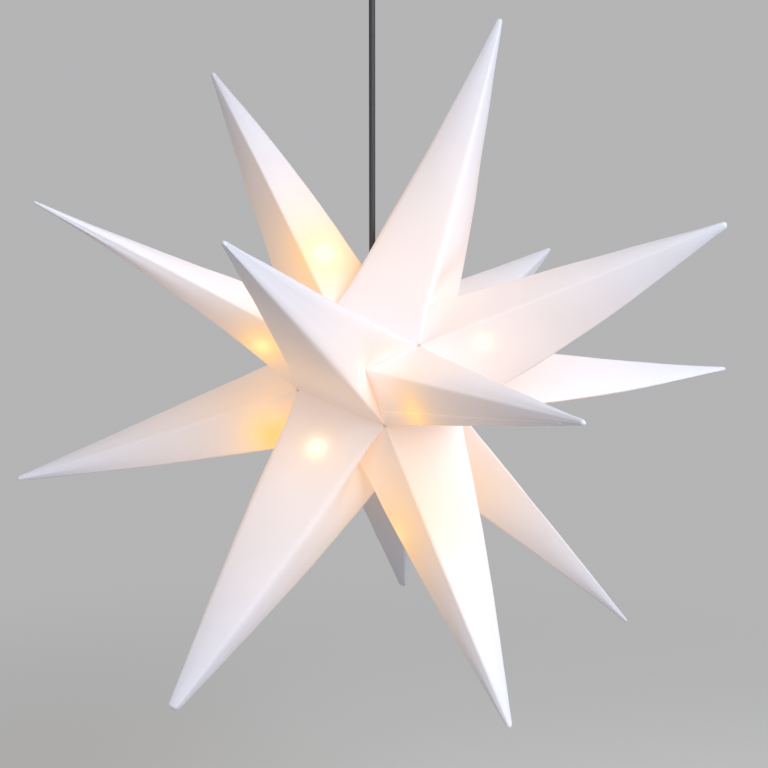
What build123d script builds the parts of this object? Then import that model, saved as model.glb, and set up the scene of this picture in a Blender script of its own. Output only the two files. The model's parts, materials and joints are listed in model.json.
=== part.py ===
import os
from math import cos, radians, sin, sqrt, tan

from build123d import *

os.makedirs("parts", exist_ok=True)

# Star: five columns of three hollow spikes round one pole axis, angles in degrees
columns = 5
tip_radius = 300.0
row_latitude = 49.0
corner_radius = 69.5
corner_latitude = 35.5
mid_radius = 68.0
mid_latitude = 13.5
pole_radius = 75.5
film = 0.8
hollow_radius = 48.0

# How the star hangs: the way its left pole points, its turn about that pole,
# and how far its centre stands off the cord's line
drop = 360.0
pole_azimuth = 152.5
pole_elevation = 17.0
pole_turn = 18.0
hang_offset = 5.1

# How each soft spike strays from its regular place: latitude, longitude, added length
lean = {
    "left_1": (-5.0, 4.2, 3.0),
    "left_2": (1.2, 3.6, 3.0),
    "left_5": (-2.4, 8.0, 2.0),
    "middle_1": (-0.9, 5.0, 3.5),
    "middle_2": (-0.2, 7.1, 0.0),
    "middle_3": (-0.9, -2.5, 11.0),
    "middle_4": (0.6, -3.0, -2.0),
    "middle_5": (2.2, -1.3, 4.0),
    "right_1": (0.5, 3.1, 4.0),
    "right_2": (0.6, 4.7, 0.7),
    "right_3": (4.0, -0.4, 10.0),
    "right_4": (-1.9, -2.0, -6.5),
    "right_5": (1.9, -7.1, -3.5),
}

# Press studs that close the seam between the third and fourth columns
stud_column = 3
stud_shank_radius = 1.25
stud_cap_radius = 3.5
stud_cap_height = 1.6
stud_hole_gap = 0.1
stud_seam_share = 0.28

# Light string: a junction at the end of the cord, and one lamp on each lead
junction_radius = 11.0
junction_height = 20.0
junction_wall = 1.6
lead_radius = 0.9
holder_radius = 2.6
holder_length = 9.0
lamp_radius = 2.0
lamp_length = 5.5
lead_grip = 3.0
lead_gap = 0.05
lead_clearance = 0.3
lamp_places = {
    "left_1": (39.0, 352.0, 99.0),
    "left_2": (43.0, 65.0, 108.0),
    "left_3": (46.0, 140.0, 105.0),
    "left_4": (46.0, 216.0, 105.0),
    "left_5": (34.0, 294.0, 93.0),
    "middle_1": (-9.0, 0.0, 68.0),
    "middle_4": (0.0, 214.0, 100.0),
    "middle_5": (-1.0, 297.0, 76.0),
    "right_1": (-43.0, 351.0, 107.0),
    "right_2": (-53.0, 61.0, 97.0),
    "right_4": (-46.0, 213.0, 105.0),
    "right_5": (-38.0, 283.0, 126.0),
}

# Cord, and the gland where it enters the star
cord_radius = 2.5
cord_gap = 0.05
cord_seat = 8.0
gland_neck_radius = 4.5
gland_hole_gap = 0.2
gland_base_radius = 7.0
gland_top_radius = 3.6
gland_skirt = 6.0
gland_neck_rise = 10.0
gland_rise = 22.0
nut_radius = 9.0
nut_height = 5.0
nut_seat_gap = 0.3
thread_gap = 0.02

# Ceiling set: strap, cup, cord grip and terminal block
strap_width = 18.0
strap_thickness = 2.0
strap_hole_radius = 2.25
strap_hole_spacing = 74.0
tab_drop = 14.0
cup_radius = 50.0
cup_height = 30.0
cup_wall = 1.2
cup_edge_round = 4.0
cup_fit_gap = 0.2
cup_screw_radius = 1.9
cup_screw_hole_gap = 0.2
cup_screw_head_radius = 3.6
cup_screw_head_height = 2.2
cup_screw_length = 9.0
cup_screw_depth = 8.0
cup_screw_seat_gap = 0.05
grip_thread_radius = 5.0
grip_hole_gap = 0.1
grip_flange_radius = 8.0
grip_flange_height = 4.0
grip_nose_radius = 6.5
grip_nose_height = 12.0
grip_nut_height = 3.0
grip_nut_radius = 8.0
grip_thread_length = 9.0
swing_angle = 10.0
swing_depth = 5.0
swing_gap = 0.3
terminal_length = 20.0
terminal_width = 16.0
terminal_height = 12.0
terminal_shift = 20.0
terminal_pitch = 8.0
terminal_bore_radius = 1.5
terminal_screw_radius = 1.4
terminal_screw_length = 5.0
terminal_screw_pitch = 10.0
terminal_head_radius = 2.8
terminal_head_height = 1.4
tail_rise = 3.0
core_radius = 0.9
core_spacing = 2.4
core_rise = 8.0
core_reach = 7.0
core_seat = 6.0
core_bend = 4.5

seam_step = 360 / columns
grip_bottom = -cup_height - grip_flange_height - grip_nose_height
swing_height = grip_bottom + swing_depth
star_centre = Vector(hang_offset, 0, -drop)
pole_direction = Vector(
    cos(radians(pole_elevation)) * cos(radians(pole_azimuth)),
    cos(radians(pole_elevation)) * sin(radians(pole_azimuth)),
    sin(radians(pole_elevation)),
)
level_direction = Vector(0, 0, 1).cross(pole_direction)
start_direction = level_direction.rotate(Axis((0, 0, 0), pole_direction), pole_turn)
star_frame = Plane(star_centre, x_dir=start_direction, z_dir=pole_direction)
row_side = {"left": 1, "middle": 0, "right": -1}


def star_point(radius, latitude, longitude):
    # A point of the star, from its distance to the centre and two angles about the pole
    across = cos(radians(latitude))
    local = Vector(
        across * cos(radians(longitude)),
        across * sin(radians(longitude)),
        sin(radians(latitude)),
    )
    return star_frame.from_local_coords(local * radius)


def base_ring(row, column):
    # The corners that a spike stands on, in order round its base
    side = row_side[row]
    middle = (column - 1) * seam_step
    before = middle - seam_step / 2
    after = middle + seam_step / 2
    if side == 0:
        return [
            star_point(corner_radius, corner_latitude, before),
            star_point(mid_radius, mid_latitude, middle),
            star_point(corner_radius, corner_latitude, after),
            star_point(corner_radius, -corner_latitude, after),
            star_point(mid_radius, -mid_latitude, middle),
            star_point(corner_radius, -corner_latitude, before),
        ]
    return [
        star_point(pole_radius, side * 90, middle),
        star_point(corner_radius, side * corner_latitude, before),
        star_point(mid_radius, side * mid_latitude, middle),
        star_point(corner_radius, side * corner_latitude, after),
    ]


def spike_axis(row, column):
    regular = star_point(1, row_side[row] * row_latitude, (column - 1) * seam_step)
    return regular - star_centre


def spike_tip(row, column):
    rise, turn, longer = lean.get(f"{row}_{column}", (0.0, 0.0, 0.0))
    return star_point(
        tip_radius + longer,
        row_side[row] * row_latitude + rise,
        (column - 1) * seam_step + turn,
    )


def side_pairs(ring):
    return list(zip(ring, ring[1:] + ring[:1]))


def slope(near, far, apex, axis):
    # How steeply the plane through three points stands across the spike's axis
    normal = (far - near).cross(apex - near)
    return abs(normal.normalized().dot(axis))


def mean_slope(ring, apex, axis):
    slopes = [slope(near, far, apex, axis) for near, far in side_pairs(ring)]
    return sum(slopes) / len(slopes)


def spike_block(row, column):
    # The spike as a full block: a pyramid out to its tip and one in to the star's centre
    ring = base_ring(row, column)
    faces = []
    for near, far in side_pairs(ring):
        for apex in (spike_tip(row, column), star_centre):
            faces.append(Face(Wire.make_polygon([near, far, apex])))
    return Solid(Shell(faces))


def wall_axis(row, column):
    # The middle of the spike's edges at its tip: drawn in along it, the hollow leaves even walls
    tip = spike_tip(row, column)
    edges = [(tip - corner).normalized() for corner in base_ring(row, column)]
    return sum(edges, Vector(0, 0, 0)).normalized()


def wall_shift(row, column):
    # How far the hollow is drawn in, so that the walls are one film thick
    ring = base_ring(row, column)
    return film / mean_slope(ring, spike_tip(row, column), wall_axis(row, column))


def seam_lift(row, column):
    # How far the hollow is lifted off the centre, so that the seam flanges are one film thick
    axis = spike_axis(row, column)
    return film / mean_slope(base_ring(row, column), star_centre, axis)


def spike_hollow(row, column):
    block = spike_block(row, column)
    drawn_in = block.moved(Location(wall_axis(row, column) * -wall_shift(row, column)))
    lifted = block.moved(Location(spike_axis(row, column) * seam_lift(row, column)))
    return drawn_in & lifted


# The cord enters through the lower ridge of one spike, close to the corner where the ridge starts
gland_spikes = [("left", 2), ("middle", 2)]
ridge_start = star_point(mid_radius, mid_latitude, seam_step)
ridge = spike_tip("left", 2) - ridge_start
ridge_share = -(ridge_start.X * ridge.X + ridge_start.Y * ridge.Y) / (ridge.X**2 + ridge.Y**2)
entry_height = ridge_start.Z + ridge.Z * ridge_share
gland_bottom = entry_height - gland_skirt
neck_top = entry_height + gland_neck_rise
gland_top = entry_height + gland_rise
nut_reach = nut_radius + abs(hang_offset)
nut_top = star_centre.Z + sqrt(hollow_radius**2 - nut_reach**2) - nut_seat_gap
neck_bottom = nut_top - nut_height
gland_hole = Plane((0, 0, neck_bottom))
gland_hole_depth = neck_top - neck_bottom

# The closing seam lies in one half plane through the pole axis
stud_longitude = (stud_column - 0.5) * seam_step
stud_axis = (star_point(1, 0, stud_longitude + 90) - star_centre).normalized()
seam_corner_left = star_point(corner_radius, corner_latitude, stud_longitude)
seam_corner_right = star_point(corner_radius, -corner_latitude, stud_longitude)
seam_span = seam_corner_right - seam_corner_left
seam_places = {
    "left": [(star_point(pole_radius, 90, 0) + seam_corner_left) * 0.5],
    "middle": [
        seam_corner_left + seam_span * stud_seam_share,
        seam_corner_right - seam_span * stud_seam_share,
    ],
    "right": [(star_point(pole_radius, -90, 0) + seam_corner_right) * 0.5],
}


def stud_planes(row):
    # One plane for each stud of the row, in the middle of the seam flange
    planes = []
    for edge_point in seam_places[row]:
        arm = edge_point - star_centre
        reach = (arm.length + hollow_radius) / 2
        planes.append(Plane(star_centre + arm.normalized() * reach, z_dir=stud_axis))
    return planes


def flange_thickness(row):
    axis = spike_axis(row, stud_column)
    return seam_lift(row, stud_column) * abs(axis.dot(stud_axis))


def make_spike(row, column):
    with BuildPart() as spike:
        add(spike_block(row, column))
        add(spike_hollow(row, column), mode=Mode.SUBTRACT)
        with Locations(star_centre):
            Sphere(hollow_radius, mode=Mode.SUBTRACT)
        if (row, column) in gland_spikes:
            with BuildSketch(gland_hole):
                Circle(gland_neck_radius + gland_hole_gap)
            extrude(amount=gland_hole_depth, mode=Mode.SUBTRACT)
        if column in (stud_column, stud_column + 1):
            for stud_plane in stud_planes(row):
                with BuildSketch(stud_plane):
                    Circle(stud_shank_radius + stud_hole_gap)
                extrude(amount=2 * flange_thickness(row), both=True, mode=Mode.SUBTRACT)
    return spike


def make_studs(socket):
    # The caps carry the shanks, and the sockets close on them from the seam's other side
    with BuildPart() as studs:
        for row in row_side:
            grip = flange_thickness(row)
            for stud_plane in stud_planes(row):
                outward = 1 if socket else -1
                with BuildSketch(stud_plane.offset(outward * grip)):
                    Circle(stud_cap_radius)
                    if socket:
                        Circle(stud_shank_radius + thread_gap, mode=Mode.SUBTRACT)
                extrude(amount=outward * stud_cap_height)
                if not socket:
                    with BuildSketch(stud_plane.offset(-grip)):
                        Circle(stud_shank_radius)
                    extrude(amount=2 * grip + stud_cap_height)
    return studs


for row in row_side:
    for column in range(1, columns + 1):
        spike = make_spike(row, column)
        spike.part.label = f"spike_{row}_{column}"
        export_step(spike.part, f"parts/spike_{row}_{column}.step")

stud_caps = make_studs(socket=False)
stud_caps.part.label = "stud_caps"
export_step(stud_caps.part, "parts/stud_caps.step")

stud_sockets = make_studs(socket=True)
stud_sockets.part.label = "stud_sockets"
export_step(stud_sockets.part, "parts/stud_sockets.step")

# Gland: a soft taper that sits astride the ridge, on a neck through the film
with BuildPart() as cord_gland:
    with BuildSketch(Plane.XZ):
        with BuildLine():
            Polyline(
                (0, gland_bottom),
                (gland_base_radius, gland_bottom),
                (gland_base_radius, neck_top),
                (gland_top_radius, gland_top),
                (0, gland_top),
                close=True,
            )
        make_face()
    revolve(axis=Axis.Z)
    for row, column in gland_spikes:
        add(spike_block(row, column), mode=Mode.SUBTRACT)
    with BuildSketch(gland_hole):
        Circle(gland_neck_radius)
    extrude(amount=gland_hole_depth)
    with BuildSketch(gland_hole):
        Circle(cord_radius + cord_gap)
    extrude(amount=gland_top - neck_bottom, mode=Mode.SUBTRACT)
cord_gland.part.label = "cord_gland"
export_step(cord_gland.part, "parts/cord_gland.step")

# Nut that holds the neck from inside, in the star's open middle
with BuildPart() as gland_nut:
    with BuildSketch(gland_hole):
        RegularPolygon(nut_radius, 6)
        Circle(gland_neck_radius + thread_gap, mode=Mode.SUBTRACT)
    extrude(amount=nut_height)
gland_nut.part.label = "gland_nut"
export_step(gland_nut.part, "parts/gland_nut.step")

# Lamps: each lead runs straight out of the junction, through its spike's open base
junction_centre = Vector(0, 0, -drop)
junction_top = junction_centre.Z + junction_height / 2
cord_end = junction_top - cord_seat


def lead_line(name):
    # From the middle of the junction to the front of one lamp's holder
    latitude, longitude, reach = lamp_places[name]
    return star_point(reach, latitude, longitude) - junction_centre


def lead_plane(name, distance):
    # A plane across the lead of one lamp, at a distance from the middle of the junction
    outward = lead_line(name).normalized()
    return Plane(junction_centre + outward * distance, z_dir=outward)


def lead_start(name):
    # A lead starts inside the junction's skin, clear of the end of the cord
    outward = lead_line(name).normalized()
    across = sqrt(outward.X**2 + outward.Y**2)
    skin = min(junction_radius / across, junction_height / 2 / abs(outward.Z))
    cord_side = (cord_radius + lead_clearance + lead_radius) / across
    return max(skin - lead_grip, cord_side)


with BuildPart() as lead_holes:
    for name in lamp_places:
        with BuildSketch(lead_plane(name, 0)):
            Circle(lead_radius + lead_gap)
        extrude(amount=junction_radius + junction_height)

with BuildPart() as lamp_leads:
    for name in lamp_places:
        with BuildSketch(lead_plane(name, lead_start(name))):
            Circle(lead_radius)
        extrude(amount=lead_line(name).length - holder_length - lead_start(name))
lamp_leads.part.label = "lamp_leads"
export_step(lamp_leads.part, "parts/lamp_leads.step")

with BuildPart() as lamp_holders:
    for name in lamp_places:
        with BuildSketch(lead_plane(name, lead_line(name).length)):
            Circle(holder_radius)
        extrude(amount=-holder_length)
lamp_holders.part.label = "lamp_holders"
export_step(lamp_holders.part, "parts/lamp_holders.step")

with BuildPart() as lamps:
    for name in lamp_places:
        front = lead_line(name).length
        with BuildSketch(lead_plane(name, front)):
            Circle(lamp_radius)
        extrude(amount=lamp_length - lamp_radius)
        with Locations(lead_plane(name, front + lamp_length - lamp_radius)):
            Sphere(lamp_radius)
lamps.part.label = "lamps"
export_step(lamps.part, "parts/lamps.step")

# Junction: a cap that seats the end of the cord, and a base that closes under it
with BuildPart() as junction_cap:
    with BuildSketch(Plane.XY.offset(junction_centre.Z)):
        Circle(junction_radius)
    extrude(amount=junction_height / 2)
    with BuildSketch(Plane.XY.offset(junction_centre.Z)):
        Circle(junction_radius - junction_wall)
    extrude(amount=cord_end - junction_centre.Z, mode=Mode.SUBTRACT)
    with BuildSketch(Plane.XY.offset(junction_centre.Z)):
        Circle(cord_radius + cord_gap)
    extrude(amount=junction_height / 2, mode=Mode.SUBTRACT)
    add(lead_holes.part, mode=Mode.SUBTRACT)
junction_cap.part.label = "junction_cap"
export_step(junction_cap.part, "parts/junction_cap.step")

with BuildPart() as junction_base:
    with BuildSketch(Plane.XY.offset(junction_centre.Z)):
        Circle(junction_radius)
    extrude(amount=-junction_height / 2)
    with BuildSketch(Plane.XY.offset(junction_centre.Z)):
        Circle(junction_radius - junction_wall)
    extrude(amount=junction_wall - junction_height / 2, mode=Mode.SUBTRACT)
    add(lead_holes.part, mode=Mode.SUBTRACT)
junction_base.part.label = "junction_base"
export_step(junction_base.part, "parts/junction_base.step")

# Cord: it swings at a round end in the grip, and carries the star
with BuildPart() as cord:
    with BuildSketch(Plane.XY.offset(cord_end)):
        Circle(cord_radius)
    extrude(amount=swing_height - cord_end)
    with Locations((0, 0, swing_height)):
        Sphere(cord_radius)
cord.part.label = "cord"
export_step(cord.part, "parts/cord.step")

# Strap: a flat bar under the ceiling, with a tab bent down at each end
cup_inside = cup_radius - cup_wall
strap_reach = sqrt(cup_inside**2 - (strap_width / 2) ** 2) - cup_fit_gap
terminal_bottom = -strap_thickness - terminal_height
terminal_middle = -strap_thickness - terminal_height / 2
with BuildPart() as ceiling_strap:
    with BuildSketch(Plane.XY):
        Rectangle(2 * strap_reach, strap_width)
    extrude(amount=-strap_thickness)
    with BuildSketch(Plane.XY):
        with Locations(
            (strap_reach - strap_thickness / 2, 0),
            (strap_thickness / 2 - strap_reach, 0),
        ):
            Rectangle(strap_thickness, strap_width)
    extrude(amount=-tab_drop)
    with BuildSketch(Plane.XY):
        with GridLocations(strap_hole_spacing, 0, 2, 1):
            Circle(strap_hole_radius)
        with Locations((terminal_shift, 0)):
            Circle(terminal_screw_radius + thread_gap)
    extrude(amount=-strap_thickness, mode=Mode.SUBTRACT)
    with BuildSketch(Plane.YZ):
        with Locations((0, -cup_screw_depth)):
            Circle(cup_screw_radius + thread_gap)
    extrude(amount=strap_reach, both=True, mode=Mode.SUBTRACT)
ceiling_strap.part.label = "ceiling_strap"
export_step(ceiling_strap.part, "parts/ceiling_strap.step")

# Cup: a drawn cover that hides the strap, open at the ceiling
with BuildPart() as ceiling_cup:
    with BuildSketch(Plane.XY):
        Circle(cup_radius)
    extrude(amount=-cup_height)
    fillet(ceiling_cup.edges().group_by(Axis.Z)[0], cup_edge_round)
    offset(amount=-cup_wall, openings=ceiling_cup.faces().sort_by(Axis.Z)[-1])
    with BuildSketch(Plane.XY.offset(-cup_height)):
        Circle(grip_thread_radius + grip_hole_gap)
    extrude(amount=cup_wall, mode=Mode.SUBTRACT)
    with BuildSketch(Plane.YZ):
        with Locations((0, -cup_screw_depth)):
            Circle(cup_screw_radius + cup_screw_hole_gap)
    extrude(amount=cup_radius, both=True, mode=Mode.SUBTRACT)
ceiling_cup.part.label = "ceiling_cup"
export_step(ceiling_cup.part, "parts/ceiling_cup.step")

# Side screws that hold the cup to the tabs
with BuildPart() as cup_screws:
    for side in (1, -1):
        seat = Plane((side * (cup_radius + cup_screw_seat_gap), 0, -cup_screw_depth), z_dir=(side, 0, 0))
        with BuildSketch(seat):
            Circle(cup_screw_head_radius)
        extrude(amount=cup_screw_head_height)
        with BuildSketch(seat):
            Circle(cup_screw_radius)
        extrude(amount=-cup_screw_length)
cup_screws.part.label = "cup_screws"
export_step(cup_screws.part, "parts/cup_screws.step")

# Cord grip: threaded up through the cup, with a mouth that flares as far as the cord swings
grip_top = -cup_height + grip_thread_length
bore_radius = cord_radius + cord_gap
mouth_radius = cord_radius / cos(radians(swing_angle)) + swing_depth * tan(radians(swing_angle)) + swing_gap
with BuildPart() as cord_grip:
    with BuildSketch(Plane.XZ):
        with BuildLine():
            Polyline(
                (mouth_radius, grip_bottom),
                (mouth_radius + cup_wall, grip_bottom),
                (grip_nose_radius, grip_bottom + grip_nose_height),
                (grip_flange_radius, grip_bottom + grip_nose_height),
                (grip_flange_radius, -cup_height),
                (grip_thread_radius, -cup_height),
                (grip_thread_radius, grip_top),
                (bore_radius, grip_top),
                (bore_radius, swing_height),
                close=True,
            )
        make_face()
    revolve(axis=Axis.Z)
cord_grip.part.label = "cord_grip"
export_step(cord_grip.part, "parts/cord_grip.step")

with BuildPart() as grip_nut:
    with BuildSketch(Plane.XY.offset(cup_wall - cup_height)):
        RegularPolygon(grip_nut_radius, 6)
        Circle(grip_thread_radius + thread_gap, mode=Mode.SUBTRACT)
    extrude(amount=grip_nut_height)
grip_nut.part.label = "grip_nut"
export_step(grip_nut.part, "parts/grip_nut.step")

# Tail: the stretch of cord that the grip holds, bared to its two cores inside the cup
tail_top = grip_top + tail_rise
with BuildPart() as cord_tail:
    with BuildSketch(Plane.XY.offset(swing_height + cord_radius + swing_gap)):
        Circle(cord_radius)
    extrude(amount=tail_top - swing_height - cord_radius - swing_gap)
cord_tail.part.label = "cord_tail"
export_step(cord_tail.part, "parts/cord_tail.step")

terminal_start = terminal_shift - terminal_length / 2
with BuildPart() as cord_cores:
    for side in (1, -1):
        with BuildLine() as core_line:
            FilletPolyline(
                (0, side * core_spacing / 2, tail_top),
                (0, side * core_spacing / 2, tail_top + core_rise),
                (core_reach, side * terminal_pitch / 2, terminal_middle),
                (terminal_start + core_seat, side * terminal_pitch / 2, terminal_middle),
                radius=core_bend,
            )
        with BuildSketch(Plane((0, side * core_spacing / 2, tail_top))):
            Circle(core_radius)
        sweep(path=core_line.line)
cord_cores.part.label = "cord_cores"
export_step(cord_cores.part, "parts/cord_cores.step")

# Terminal block, its four clamping screws and the screw that fixes it to the strap
with BuildPart() as terminal_block:
    with BuildSketch(Plane.XY.offset(-strap_thickness)):
        with Locations((terminal_shift, 0)):
            Rectangle(terminal_length, terminal_width)
    extrude(amount=-terminal_height)
    with BuildSketch(Plane.YZ.offset(terminal_start)):
        with Locations((0, terminal_middle)):
            with GridLocations(terminal_pitch, 0, 2, 1):
                Circle(terminal_bore_radius)
    extrude(amount=terminal_length, mode=Mode.SUBTRACT)
    with BuildSketch(Plane.XY.offset(terminal_bottom)):
        with Locations((terminal_shift, 0)):
            with GridLocations(terminal_screw_pitch, terminal_pitch, 2, 2):
                Circle(terminal_screw_radius + thread_gap)
    extrude(amount=terminal_height / 2, mode=Mode.SUBTRACT)
    with BuildSketch(Plane.XY.offset(terminal_bottom)):
        with Locations((terminal_shift, 0)):
            Circle(terminal_screw_radius + thread_gap)
    extrude(amount=terminal_height, mode=Mode.SUBTRACT)
terminal_block.part.label = "terminal_block"
export_step(terminal_block.part, "parts/terminal_block.step")

with BuildPart() as terminal_screws:
    with BuildSketch(Plane.XY.offset(terminal_bottom)):
        with Locations((terminal_shift, 0)):
            with GridLocations(terminal_screw_pitch, terminal_pitch, 2, 2):
                Circle(terminal_screw_radius)
    extrude(amount=terminal_screw_length)
terminal_screws.part.label = "terminal_screws"
export_step(terminal_screws.part, "parts/terminal_screws.step")

with BuildPart() as terminal_fixing:
    with BuildSketch(Plane.XY.offset(terminal_bottom)):
        with Locations((terminal_shift, 0)):
            Circle(terminal_screw_radius)
    extrude(amount=terminal_height + strap_thickness)
    with BuildSketch(Plane.XY.offset(terminal_bottom)):
        with Locations((terminal_shift, 0)):
            Circle(terminal_head_radius)
    extrude(amount=-terminal_head_height)
terminal_fixing.part.label = "terminal_fixing"
export_step(terminal_fixing.part, "parts/terminal_fixing.step")
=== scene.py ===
import json
import math

import bmesh
import bpy
from mathutils import Matrix, Vector

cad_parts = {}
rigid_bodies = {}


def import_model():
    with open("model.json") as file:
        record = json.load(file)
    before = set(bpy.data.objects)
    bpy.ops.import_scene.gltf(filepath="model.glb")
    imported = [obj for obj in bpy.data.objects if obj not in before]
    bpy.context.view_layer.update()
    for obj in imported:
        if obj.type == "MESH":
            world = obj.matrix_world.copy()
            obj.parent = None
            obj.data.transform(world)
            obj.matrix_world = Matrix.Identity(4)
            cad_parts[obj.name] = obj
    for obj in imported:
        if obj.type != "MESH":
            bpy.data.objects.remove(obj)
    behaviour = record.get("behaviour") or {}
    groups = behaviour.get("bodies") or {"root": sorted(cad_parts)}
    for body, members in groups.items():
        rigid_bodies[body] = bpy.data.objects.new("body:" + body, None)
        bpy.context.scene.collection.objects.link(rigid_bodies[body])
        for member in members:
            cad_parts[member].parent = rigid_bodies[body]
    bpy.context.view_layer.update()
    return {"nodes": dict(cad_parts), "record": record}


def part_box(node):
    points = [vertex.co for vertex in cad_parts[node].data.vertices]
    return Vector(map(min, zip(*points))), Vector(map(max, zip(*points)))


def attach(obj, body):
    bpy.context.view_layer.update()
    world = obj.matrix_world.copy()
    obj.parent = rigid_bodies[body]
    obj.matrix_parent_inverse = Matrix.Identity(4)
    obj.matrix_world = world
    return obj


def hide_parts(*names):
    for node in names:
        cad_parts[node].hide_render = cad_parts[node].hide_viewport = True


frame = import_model()

scene = bpy.context.scene
scene.view_settings.view_transform = "Standard"

# the star's own layout, metres and degrees: five columns of three spikes round one pole
starLayout = {
    "centre": (0.0051, 0.0, -0.360),
    "poleAzimuth": 152.5,
    "poleElevation": 17.0,
    "poleTurn": 18.0,
    "columns": 5,
    "tipRadius": 0.300,
    "rowLatitude": 49.0,
    "cornerRadius": 0.0695,
    "cornerLatitude": 35.5,
    "midRadius": 0.068,
    "midLatitude": 13.5,
    "poleRadius": 0.0755,
    "rowSide": {"left": 1, "middle": 0, "right": -1},
    "lean": {  # how each soft spike strays: latitude, longitude, added length
        "left_1": (-5.0, 4.2, 0.0030),
        "left_2": (1.2, 3.6, 0.0030),
        "left_5": (-2.4, 8.0, 0.0020),
        "middle_1": (-0.9, 5.0, 0.0035),
        "middle_2": (-0.2, 7.1, 0.0),
        "middle_3": (-0.9, -2.5, 0.0110),
        "middle_4": (0.6, -3.0, -0.0020),
        "middle_5": (2.2, -1.3, 0.0040),
        "right_1": (0.5, 3.1, 0.0040),
        "right_2": (0.6, 4.7, 0.0007),
        "right_3": (4.0, -0.4, 0.0100),
        "right_4": (-1.9, -2.0, -0.0065),
        "right_5": (1.9, -7.1, -0.0035),
    },
}

starCentre = Vector(starLayout["centre"])


def starFrame():
    azimuth = math.radians(starLayout["poleAzimuth"])
    elevation = math.radians(starLayout["poleElevation"])
    pole = Vector((
        math.cos(elevation) * math.cos(azimuth),
        math.cos(elevation) * math.sin(azimuth),
        math.sin(elevation),
    ))
    level = Vector((0, 0, 1)).cross(pole).normalized()
    start = Matrix.Rotation(math.radians(starLayout["poleTurn"]), 3, pole) @ level
    return Matrix((start, pole.cross(start), pole)).transposed()


starTurn = starFrame()


def starPoint(radius, latitude, longitude):
    lat = math.radians(latitude)
    lon = math.radians(longitude)
    local = Vector((math.cos(lat) * math.cos(lon), math.cos(lat) * math.sin(lon), math.sin(lat)))
    return starCentre + starTurn @ (local * radius)


# camera at the photograph's viewing angle
cameraSetup = {
    "elevation": 6.0,
    "distance": 1.110,
    "lens": 64.5,
    "aimRight": 0.0043,
    "aimDown": 0.0034,
}


def aimAt(thing, place, target):
    thing.location = place
    thing.rotation_euler = (Vector(target) - Vector(place)).to_track_quat("-Z", "Y").to_euler()


def addCamera():
    data = bpy.data.cameras.new("photoCamera")
    data.lens = cameraSetup["lens"]
    camera = bpy.data.objects.new("photoCamera", data)
    scene.collection.objects.link(camera)
    rise = math.radians(cameraSetup["elevation"])
    back = Vector((0, -math.cos(rise), math.sin(rise))) * cameraSetup["distance"]
    target = starCentre + Vector((cameraSetup["aimRight"], 0, -cameraSetup["aimDown"]))
    aimAt(camera, starCentre + back, target)
    scene.camera = camera


addCamera()
print("camera: set")


def linkObject(name, data):
    thing = bpy.data.objects.new(name, data)
    scene.collection.objects.link(thing)
    return thing


def makeMesh(name, points, faces):
    mesh = bpy.data.meshes.new(name)
    mesh.from_pydata([tuple(p) for p in points], [], faces)
    mesh.update()
    return mesh


def tubeFaces(rows, count):  # quads round a tube whose rows have the same number of points
    faces = []
    for j in range(rows - 1):
        for i in range(count):
            here = j * count + i
            beside = j * count + (i + 1) % count
            faces.append((here, beside, beside + count, here + count))
    return faces


def smoothMesh(mesh):
    for face in mesh.polygons:
        face.use_smooth = True


def bakeShape(thing):  # what the modifiers make becomes the object's plain mesh
    graph = bpy.context.evaluated_depsgraph_get()
    shape = bpy.data.meshes.new_from_object(
        thing.evaluated_get(graph), preserve_all_data_layers=True, depsgraph=graph
    )
    thing.modifiers.clear()
    thing.data = shape
    shape.name = thing.name


# shader helpers
def newNode(tree, kind, **settings):
    made = tree.nodes.new(kind)
    for key, value in settings.items():
        setattr(made, key, value)
    return made


def feed(tree, socket, value):  # a socket takes a link or a plain value
    if isinstance(value, bpy.types.NodeSocket):
        tree.links.new(value, socket)
    else:
        socket.default_value = value


def mathNode(tree, operation, first, second=0.0):
    made = newNode(tree, "ShaderNodeMath", operation=operation)
    feed(tree, made.inputs[0], first)
    feed(tree, made.inputs[1], second)
    return made.outputs[0]


def mixColour(tree, blend, factor, first, second):
    made = newNode(tree, "ShaderNodeMix", data_type="RGBA", blend_type=blend)
    feed(tree, made.inputs[0], factor)
    feed(tree, made.inputs[6], first)
    feed(tree, made.inputs[7], second)
    return made.outputs[2]


def spread(tree, value, low, high):  # maps 0..1 to low..high
    made = newNode(tree, "ShaderNodeMapRange")
    feed(tree, made.inputs["Value"], value)
    made.inputs["To Min"].default_value = low
    made.inputs["To Max"].default_value = high
    return made.outputs["Result"]


def smoothFade(tree, value, start, end, low=0.0, high=1.0):  # low at start, eased to high at end
    made = newNode(tree, "ShaderNodeMapRange", interpolation_type="SMOOTHSTEP")
    tree.links.new(value, made.inputs["Value"])
    limits = {"From Min": start, "From Max": end, "To Min": low, "To Max": high}
    for title, limit in limits.items():
        made.inputs[title].default_value = limit
    return made.outputs["Result"]


def distanceTo(tree, vector, point):
    made = newNode(tree, "ShaderNodeVectorMath", operation="DISTANCE")
    tree.links.new(vector, made.inputs[0])
    feed(tree, made.inputs[1], point)
    return made.outputs["Value"]


def newGroup(name, ins, outs):
    group = bpy.data.node_groups.new(name, "ShaderNodeTree")
    for title, kind, value in ins:
        socket = group.interface.new_socket(title, in_out="INPUT", socket_type=kind)
        if value is not None:
            socket.default_value = value
    for title in outs:
        group.interface.new_socket(title, in_out="OUTPUT", socket_type="NodeSocketFloat")
    return group, newNode(group, "NodeGroupInput"), newNode(group, "NodeGroupOutput")


grainDetail = {"Height": 2.0, "Mottle": 3.0}


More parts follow.
